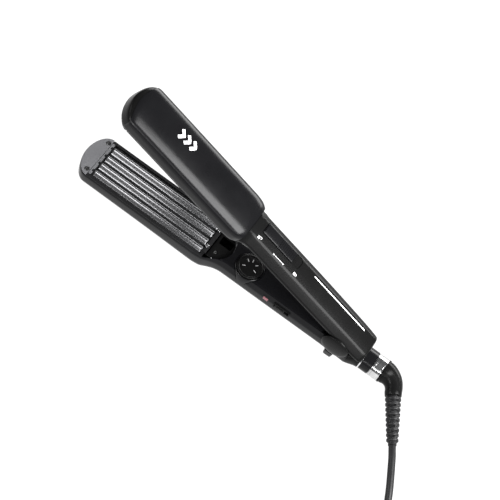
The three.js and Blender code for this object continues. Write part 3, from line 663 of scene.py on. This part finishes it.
def ribbon(name, points, width, height, finish, body, frame_of, surface):
    """A printed line: a thin raised strip that follows a surface."""
    vertices, faces = [], []
    path = [Vector((x, y, 0)) for x, y in points]
    fine = []
    for a, b in zip(path, path[1:]):
        parts = max(1, int((b - a).length / 2))
        fine += [a.lerp(b, i / parts) for i in range(parts)]
    fine.append(path[-1])
    closed = (fine[0] - fine[-1]).length < 1e-6
    if closed:
        fine.pop()
    length = len(fine)
    for i, p in enumerate(fine):
        before = fine[i - 1] if closed or i else p
        after = fine[(i + 1) % length] if closed or i < length - 1 else p
        along = (after - before).normalized()
        side = Vector((-along.y, along.x, 0)) * width / 2
        for q, lift in ((p + side, -0.1), (p - side, -0.1), (p - side, height), (p + side, height)):
            vertices.append((q.x, q.y, surface(q.x, q.y) + lift))
    faces = tube_faces(4, length, not closed)
    if closed:
        last = (length - 1) * 4
        faces += [(last + j, last + (j + 1) % 4, (j + 1) % 4, j) for j in range(4)]
    return piece(name, vertices, faces, finish, body, frame_of)


for index, degrees in enumerate((208, 141, 98, 45, -17)):
    a = math.radians(degrees)
    ends = [(DIAL[0] + r * math.cos(a), DIAL[1] + r * math.sin(a)) for r in (4.6, 7.6)]
    ribbon(f"dial_mark_{index}", ends, 0.6, 0.12, PRINT_GREY, "temperature_dial", place, lambda x, y: 3.72)
rings = []
for k in range(9):
    proud = 0.22 * (k % 2)
    outline = [(-14, -2.7), (-16.45 - proud, -2.7), (-16.6 - proud, -6.9), (-14, -6.9)]
    rings.append([(-77.2 + 4.8 * k / 8, y, z) for y, z in rounded(outline, [0.6, 0.6], 4)])
lamp = lofted("lamp_window", rings, LENS, "lower_arm", crisp=20)
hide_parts("indicator_lens")
piece("lamp_frame", *block(-78.2, -71.4, -16.3, -14, -7.7, -2.0), INNER, "lower_arm", bevel=0.3)

rings = []
for k in range(21):
    proud = 0.55 * (k % 2)
    outline = [(-13.2, -2), (-16.6 - proud, -2.1), (-16.7 - proud, -6.5), (-13.2, -6.6)]
    rings.append([(-64.4 + 10 * k / 20, y, z) for y, z in rounded(outline, [0.5, 0.5], 3)])
slide = lofted("power_slide_button", rings, SATIN, "power_switch", crisp=20)
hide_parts("power_slider")
ring = rounded([(-57, -1.2), (-49.0, -1.2), (-49.0, -7.3), (-66.0, -7.3), (-66.0, -1.2), (-57, -1.2)],
               [0.8, 0.8, 0.8, 0.8], 4)
inside = rounded([(-57, -1.7), (-49.5, -1.7), (-49.5, -6.8), (-65.5, -6.8), (-65.5, -1.7), (-57, -1.7)],
                 [0.5, 0.5, 0.5, 0.5], 4)
vertices = [(x, y, z) for y in (-16.75, -15.2) for edge in (ring, inside) for x, z in edge]
n = len(ring)
faces = []
for i in range(n - 1):
    for a, b in ((0, n), (2 * n, 3 * n), (0, 2 * n), (n, 3 * n)):
        faces.append((a + i, a + i + 1, b + i + 1, b + i))
piece("switch_frame", vertices, faces, SATIN, "lower_arm", crisp=50)


# ---- hinge, feet and tail ----------------------------------------------------------------
def hinge_cap(name, side, face, radius, rise, node):
    dome = [(0, 1), (0.4, 0.95), (0.7, 0.8), (0.88, 0.6), (0.95, 0.43), (0.96, 0.35), (0.985, 0.35),
            (1, 0.24), (1, 0), (0, 0)]
    profile = [(r * radius, side * h * rise) for r, h in dome]
    made = piece(name, *lathe(profile, (0, face, 0), (0, 1, 0), 96), SATIN, "lower_arm", crisp=40)
    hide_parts(node)


hinge_cap("hinge_cap_near", -1, -16.7, 13.8, 2.9, "hinge_cover_near")
hinge_cap("hinge_cap_far", 1, 15.5, 8, 0.8, "hinge_cover_far")


def foot(name, x0, x1, y0, y1, top, node, body="lower_arm"):
    rings = []
    middle = (x0 + x1) / 2
    for z, grow in ((top, 0.6), (-24, 0.3), (-26, 0), (-26.7, -0.4), (-27, -1.0)):
        near, far, front, rear = y0 - grow, y1 + grow, x0 - grow, x1 + grow
        outline = [(middle, near), (rear, near), (rear, far), (front, far), (front, near), (middle, near)]
        rings.append([(x, y, z) for x, y in rounded(outline, [1.5] * 4, 5)[:-1]])
    made = lofted(name, rings, RUBBER, body, crisp=50)
    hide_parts(node)


foot("front_pad", -134.5, -124.5, -7.8, 7.8, -22.6, "front_foot")
foot("rear_pad_near", -5.2, 2.6, -15.5, -9, -18.5, "rear_foot_near")
foot("rear_pad_far", -5.2, 2.6, 9, 15.5, -18.5, "rear_foot_far")


def power(v, n):
    return math.copysign(abs(v) ** (2 / n), v)


rings = []
for k in range(15):
    u = k / 14
    blend = u * u * (3 - 2 * u)
    w, high, mid, n = (a + (b - a) * blend
                       for a, b in ((16, 11.7), (8.2, 11.7), (-13.1, TAIL_Z), (3.4, 2)))
    rings.append([(12.5 + 14.3 * u, w * power(math.cos(t), n), mid + high * power(math.sin(t), n))
                  for t in (2 * math.pi * j / 72 for j in range(72))])
tail = lofted("tail_moulding", rings, SATIN, "lower_arm", crisp=50)
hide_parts("tail_housing")


def collar(name, profile, finish, node, body="lower_arm", steps=96):
    made = piece(name, *lathe(profile, (0, 0, TAIL_Z), (1, 0, 0), steps), finish, body, crisp=28)
    if node:
        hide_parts(node)


def band(x0, x1, radius, bore, soft=0.3):
    return [(bore, x0), (radius - soft, x0), (radius, x0 + soft), (radius, x1 - soft), (radius - soft, x1),
            (bore, x1), (bore, x0)]


collar("trim_band", band(26.9, 28.1, 11.75, 5.6, 0.2), CHROME, "tail_trim_ring")
collar("cord_collar", band(28.2, 37.7, 11.4, 5.6, 0.3), GLOSS, "swivel_collar")
grooved = [(5.6, 38), (11.15, 38), (11.5, 38.3), (11.5, 39.6), (11.25, 39.8), (11.25, 40.1), (11.5, 40.3),
           (11.5, 46.4), (11.25, 46.6), (11.25, 46.9), (11.5, 47.1), (11.5, 48), (11.2, 48.3), (5.6, 48.3),
           (5.6, 38)]
collar("swivel_band", grooved, BRUSHED, "swivel_ring")

ALONG = Vector((0.5, -math.sqrt(0.75), 0))
ELBOW = Vector((60.8, -1, TAIL_Z))


def bent(path, radii, steps=48):
    """Rings square to a path, whose radius changes along it."""
    rings = []
    for k, (p, radius) in enumerate(zip(path, radii)):
        along = (path[min(k + 1, len(path) - 1)] - path[max(k - 1, 0)]).normalized()
        side = along.cross(Vector((0, 0, 1))).normalized()
        lift = side.cross(along)
        rings.append([tuple(p + side * radius * math.cos(t) + lift * radius * math.sin(t))
                      for t in (2 * math.pi * j / steps for j in range(steps))])
    return rings


start, corner, finish_at = Vector((48.6, 0, TAIL_Z)), Vector((62.5, 0.4, TAIL_Z)), ELBOW + ALONG * 16.7
path = [start, Vector((48.8, 0, TAIL_Z)), Vector((50.2, 0, TAIL_Z)), Vector((50.4, 0, TAIL_Z))]
radii = [11.1, 11.4, 11.4, 10.8]
for k in range(1, 19):
    t = k / 18
    path.append(Vector((50.6, 0, TAIL_Z)) * (1 - t) ** 2 + corner * 2 * t * (1 - t)
                + (ELBOW + ALONG * 13) * t * t)
    radii.append(10.8 - 2.9 * smooth_between([0, 0.4, 1], [0, 0.5, 1], t))
path += [ELBOW + ALONG * 16.2, finish_at]
radii += [7.7, 7.3]
elbow = lofted("cord_elbow", bent(path, radii), SATIN, "cord_swivel", crisp=40)
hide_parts("swivel_elbow")
collar("swivel_rim", band(48.6, 50.3, 11.45, 5.2), SATIN, None, "cord_swivel")


def ribbed_boot():
    """A flexible strain relief: a slim core, half rings standing off it in turn, and a plain end."""
    origin = ELBOW
    core = [(0, 16.9), (5.2, 16.9), (3.9, 63), (0, 63)]
    made = piece("strain_relief_core", *lathe(core, origin, ALONG, 40), RUBBER, "cord_swivel")
    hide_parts("strain_relief")
    count = 9
    for k in range(count):
        distance = 19.8 + 4.8 * k
        radius = 7.3 - 1.8 * k / (count - 1)
        profile = [(3.4, -1.45), (radius - 0.7, -1.45), (radius, -0.8), (radius, 0.8), (radius - 0.7, 1.45),
                   (3.4, 1.45), (3.4, -1.45)]
        turned = lathe([(r, distance + h) for r, h in profile], origin, ALONG, 48)
        piece(f"strain_relief_rib_{k + 1}", *turned, RUBBER, "cord_swivel", crisp=50)
        if k < count - 1:
            for side in (0, 1):
                angle = math.pi / 2 * (k % 2) + math.pi * side + 0.4
                up = Vector((0, 0, 1))
                across = up * math.sin(angle) + ALONG.cross(up) * math.cos(angle)
                middle = origin + ALONG * (distance + 2.4) + across * (radius - 2.1)
                over = ALONG.cross(across)
                corners = [middle + ALONG * a + across * b + over * c for a, b, c in (
                    (-1.2, -1.6, -2.4), (1.2, -1.6, -2.4), (1.2, 1.6, -2.0), (-1.2, 1.6, -2.0),
                    (-1.2, -1.6, 2.4), (1.2, -1.6, 2.4), (1.2, 1.6, 2.0), (-1.2, 1.6, 2.0))]
                piece(f"strain_relief_link_{k + 1}_{side + 1}", [tuple(c) for c in corners],
                      [(0, 3, 2, 1), (4, 5, 6, 7), (0, 1, 5, 4), (1, 2, 6, 5), (2, 3, 7, 6), (3, 0, 4, 7)],
                      RUBBER, "cord_swivel", bevel=0.4)


ribbed_boot()


# ---- upper arm ---------------------------------------------------------------------------
def seam_x(y, shift=0.0):
    return -283 + shift + 0.0135 * y * y


def seam_cutter(name, shift, side):
    ys = [-26 + 52 * i / 40 for i in range(41)]
    edge = [(seam_x(y, shift), y) for y in ys]
    far = -300 if side < 0 else -100
    return piece(name, *prism(edge + [(far, 26), (far, -26)], -5, 30), GLOSS, None, raised)


head = shell("upper_head", HEAD, head_half, 2, False, GLOSS, "upper_arm", raised)
carve(head, seam_cutter("c7", 0.3, -1))
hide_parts("upper_head_shell")
SMALLER = [{**s, "w": max(0.4, s["w"] - 0.45), "base": s["base"] - 0.45, "rim": s["rim"] + 0.1}
           for s in HEAD]
nose = shell("upper_nose", SMALLER, head_half, 1.5, False, SATIN, "upper_arm", raised)
carve(nose, seam_cutter("c8", 2.6, 1))

LOCK_Y = 5.5
handle = shell("upper_handle", HANDLE, handle_far, 1.8, True, SATIN, "upper_arm", raised, handle_half)
well = rounded([(-100, -0.5), (-77.5, -0.5), (-77.5, 11.5), (-124.9, 11.5), (-124.9, -0.5), (-100, -0.5)],
               [4.5, 4.5, 0.8, 0.8], 8)
carve(handle,
      *[piece("c", *lathe(drum(9.5, 9), (0, y, 0), (0, 1, 0), 96), SATIN, None, raised)
        for y in (12.7, -21.7)],
      piece("c9", *prism(well[:-1], 14.6, 20), SATIN, None, raised),
      piece("c10", *block(-121, -104, LOCK_Y - 3, LOCK_Y + 3, 10, 20), SATIN, None, raised))
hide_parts("upper_handle_cover")


def button():
    """The two-part lock button: a plain thumb rest, then a ribbed grip."""
    rows = []
    x = -124.3
    while x < -86.01:
        if x < -105.8:
            lift = 0.0
        elif x < -104.8:
            lift = -0.55
        else:
            lift = -0.3 + 0.1 * math.cos(2 * math.pi * (x + 104.8) / 2.1)
        edge = 0.9 if x < -123.9 or x > -86.6 else 0
        top = 16.75 + lift - edge * 0.6
        rows.append([(x, LOCK_Y + y * (1 - 0.04 * edge), z) for y, z in rounded(
            [(-5.4, 14.9), (-5.4, top - 0.2), (0, top), (5.4, top - 0.2), (5.4, 14.9)], [0.7, 3, 0.7], 4)])
        x += 0.35
    made = lofted("lock_slide", rows, GLOSS, "lock_slider", raised, crisp=40)
    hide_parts("lock_button")


button()


def height_on(stations, half, lowest, far=None):
    """The height of a moulding's top at a place, from its section there."""
    def height(x, y):
        at = [s["x"] for s in stations]
        row = {k: smooth_between(at, [s[k] for s in stations], x) for k in stations[0]}
        points = sorted(p for p in (far if far and y > 0 else half)(row, 0) if p[1] > row[lowest] + 2)
        for (y0, z0), (y1, z1) in zip(points, points[1:]):
            if y0 <= abs(y) <= y1:
                return z0 + (z1 - z0) * (abs(y) - y0) / max(1e-6, y1 - y0)
        return points[0][1]
    return height


on_handle = height_on(HANDLE, handle_half, "slope", handle_far)
on_head = height_on(HEAD, head_half, "shoulder")


def printed(name, points, width, surface=on_handle):
    return ribbon(name, points, width, 0.05, PRINT_WHITE, "upper_arm", raised, surface)


def padlock(name, x, y, shut):
    """A generic padlock sign, its body towards the plates."""
    printed(name + "_body", [(x - 0.8, y), (x + 1.4, y)], 2.6)
    bow = [(x + 1.4, y + 0.9)] + [(x + 2.1 + 0.9 * math.sin(t), y + 0.9 * math.cos(t))
                                  for t in (math.pi * k / 8 for k in range(9))]
    if shut:
        bow.append((x + 1.4, y - 0.9))
    printed(name + "_bow", bow if shut else [(a + 0.5, b + 0.8) for a, b in bow], 0.45)


padlock("open_padlock", -125.0, -6.3, False)
padlock("shut_padlock", -78.5, -5.3, True)
printed("slide_line", [(-103.4, -7), (-92.7, -6.9)], 0.45)
for k, x in enumerate((-104.2, -91.9)):
    printed(f"slide_dot_{k + 1}", [(x - 0.6, -7), (x + 0.6, -7)], 1.2)

# Three plain chevrons on the head and one plain line on the handle.
for k in range(3):
    x = -238 + 7.2 * k
    printed(f"emblem_chevron_{k + 1}", [(x, 0.2), (x + 4.2, 4.8), (x, 9.4)], 3.0, on_head)
printed("rear_stripe", [(-61, 8.2), (8.5, 8.2)], 1.1)


# ---- cord --------------------------------------------------------------------------------
CORD_R = 3.4
CORD_Z = -27 + CORD_R + 0.2
COIL = Vector((176, -124, 0))


def boot_point(distance):
    return ELBOW + ALONG * distance


def spline(points, step):
    """Catmull-Rom through the points, sampled about every step millimetres."""
    made = []
    for i in range(len(points) - 1):
        p0, p1, p2 = points[max(i - 1, 0)], points[i], points[i + 1]
        p3 = points[min(i + 2, len(points) - 1)]
        parts = max(2, round((p2 - p1).length / step))
        for k in range(parts):
            t = k / parts
            made.append(0.5 * (2 * p1 + (p2 - p0) * t + (2 * p0 - 5 * p1 + 4 * p2 - p3) * t * t
                               + (3 * p1 - p0 - 3 * p2 + p3) * t ** 3))
    return made + [points[-1]]


def on_coil(degrees, radius, z):
    a = math.radians(degrees)
    return COIL + Vector((radius * math.cos(a), radius * math.sin(a), z))


def ease(u):
    u = max(0.0, min(1.0, u))
    return u * u * (3 - 2 * u)


RADII = (40.6, 33.5, 26.4, 26.4, 33.5, 40.6, 40.6, 33.5, 26.4, 26.4, 33.5)
TURNS = 10


def wound():
    """Ten turns in three layers and a bit, each turn a diameter from the next."""
    points = []
    steps = 24
    for k in range(TURNS * steps + 1):
        turn, part = divmod(k, steps)
        if k == TURNS * steps:
            turn, part = TURNS - 1, steps
        degrees = 180 + 360 * (turn + part / steps)
        u = ease((part / steps * 360 - 300) / 60)
        radius = RADII[turn] + (RADII[turn + 1] - RADII[turn]) * u
        level = turn // 3 + ((turn + 1) // 3 - turn // 3) * u
        if turn == 0:
            radius += (47.8 - RADII[0]) * (1 - ease(part / steps * 360 / 70))
        points.append(on_coil(degrees, radius, CORD_Z + 7.0 * level))
    return points


lead = [boot_point(63.3), boot_point(69), boot_point(75), Vector((110.4, -87.5, -18.8)),
        Vector((116.8, -99.5, -22.2)), Vector((123, -111.5, CORD_Z))]
turns = wound()
out = [on_coil(180 + 80 * u, 33.5 + 14.7 * ease(u), CORD_Z + 21) for u in (0.15, 0.3, 0.45, 0.6, 0.75, 0.9)]
tail_points = [on_coil(-100 + 125 * u, 48.2 + 16 * ease(u), CORD_Z + 21 * (1 - ease(u)))
               for u in (k / 12 for k in range(13))]
route = spline(lead + turns + out + tail_points, 5)
cord = lofted("mains_cord", bent(route, [CORD_R] * len(route), 20), RUBBER, None, crisp=60)
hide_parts("cord_lead", "cord_coil", "cord_tail")
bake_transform(cord)

strap = []
turn60 = Matrix.Rotation(math.radians(60), 3, "Z")
loop = rounded([(33, -27), (45.8, -27), (45.8, 2.4), (20.7, 2.4), (20.7, -27), (33, -27)], [3] * 4, 6)[:-1]
for r, z in loop:
    strap.append([tuple(COIL + turn60 @ Vector((r + dr, y, z + dz))) for y, dr, dz in
                  ((-2.4, 0, 0), (2.4, 0, 0), (2.4, (33 - r) * 0.04, 1.1 if z < -20 else -1.1),
                   (-2.4, (33 - r) * 0.04, 1.1 if z < -20 else -1.1))])
faces = tube_faces(4, len(strap), False)
last = (len(strap) - 1) * 4
faces += [(last + j, last + (j + 1) % 4, (j + 1) % 4, j) for j in range(4)]
tie = piece("cord_tie", [v for ring in strap for v in ring], faces, RUBBER, "lower_arm")
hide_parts("cable_tie")

end = route[-1]
ahead = (route[-1] - route[-3]).normalized()
ahead.z = 0
ahead.normalize()
across = Vector((-ahead.y, ahead.x, 0))


def by_plug(x, y, z):
    return place(*(Vector((end.x, end.y, CORD_Z)) + ahead * x + across * y + Vector((0, 0, z + 3.6))))


rings = []
for x, half, thin in ((0.3, 3.9, 3.9), (1, 4.4, 4.4), (8, 5, 4.8), (10, 5.2, 5), (12, 6.4, 5.6),
                      (16, 12, 6.4), (20, 15.6, 6.9), (24, 16.8, 7), (30, 16.8, 7), (33.5, 16.2, 6.8),
                      (35.6, 13.5, 6.2), (36, 11.5, 5.4)):
    rings.append([(x, half * power(math.cos(t), 2.6), thin * power(math.sin(t), 2.6))
                  for t in (2 * math.pi * j / 48 for j in range(48))])
plug = lofted("mains_plug", rings, SATIN, "lower_arm", by_plug, crisp=45)
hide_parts("plug_body")
pins = []
for node, side in (("plug_pin_left", 1), ("plug_pin_right", -1)):
    pin_profile = [(0, 34.5), (2.4, 34.5), (2.4, 53.8), (1.9, 54.9), (0, 55.3)]
    sleeve_profile = [(2.4, 36), (2.48, 36.1), (2.48, 45.8), (2.4, 46), (2.4, 36)]
    pin_axis = ((0, side * 9.3, 0), (1, 0, 0), 32)
    made = piece("mains_" + node, *lathe(pin_profile, *pin_axis), STEEL, "lower_arm", by_plug, crisp=50)
    piece(f"{made.name}_sleeve", *lathe(sleeve_profile, *pin_axis), SATIN, "lower_arm", by_plug)
    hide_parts(node)
    pins += [made, bpy.data.objects[made.name + "_sleeve"]]
